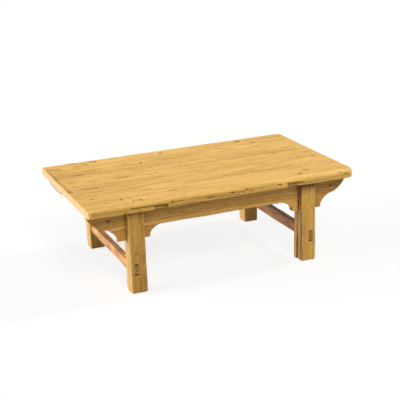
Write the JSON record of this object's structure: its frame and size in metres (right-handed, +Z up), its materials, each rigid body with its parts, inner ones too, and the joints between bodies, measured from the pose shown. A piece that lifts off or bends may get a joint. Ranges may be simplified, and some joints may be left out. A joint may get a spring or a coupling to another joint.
{
  "type": "low table",
  "caption": "Low plank-top kang table of worn elm: upright recessed legs slotted over long aprons with shaped ears and spandrels, and wedged end stretchers.",
  "frame": {"origin": "on the floor at the middle of the table", "axes": "+X along the table to its right as seen from the front, +Y from the front to the back, +Z up"},
  "size_m": [0.96, 0.585, 0.316],
  "materials": {
    "top_wood": "worn and waxed, satin",
    "batten_wood": "sawn, dry",
    "leg_wood": "worn and waxed, satin",
    "apron_wood": "worn and waxed, satin",
    "spandrel_wood": "worn and waxed, satin",
    "stretcher_wood": "worn and waxed, satin",
    "wedge_wood": "end grain, dry"
  },
  "bodies": {
    "root": {"top_board_front": "top_wood", "top_board_back": "top_wood", "top_batten_left": "batten_wood", "top_batten_middle": "batten_wood", "top_batten_right": "batten_wood", "leg_front_left": "leg_wood", "leg_front_right": "leg_wood", "leg_back_left": "leg_wood", "leg_back_right": "leg_wood", "apron_front": "apron_wood", "apron_back": "apron_wood", "spandrel_front_left": "spandrel_wood", "spandrel_front_right": "spandrel_wood", "spandrel_back_left": "spandrel_wood", "spandrel_back_right": "spandrel_wood", "stretcher_left": "stretcher_wood", "stretcher_right": "stretcher_wood", "stretcher_wedges": "wedge_wood"}
  },
  "joints": []
}
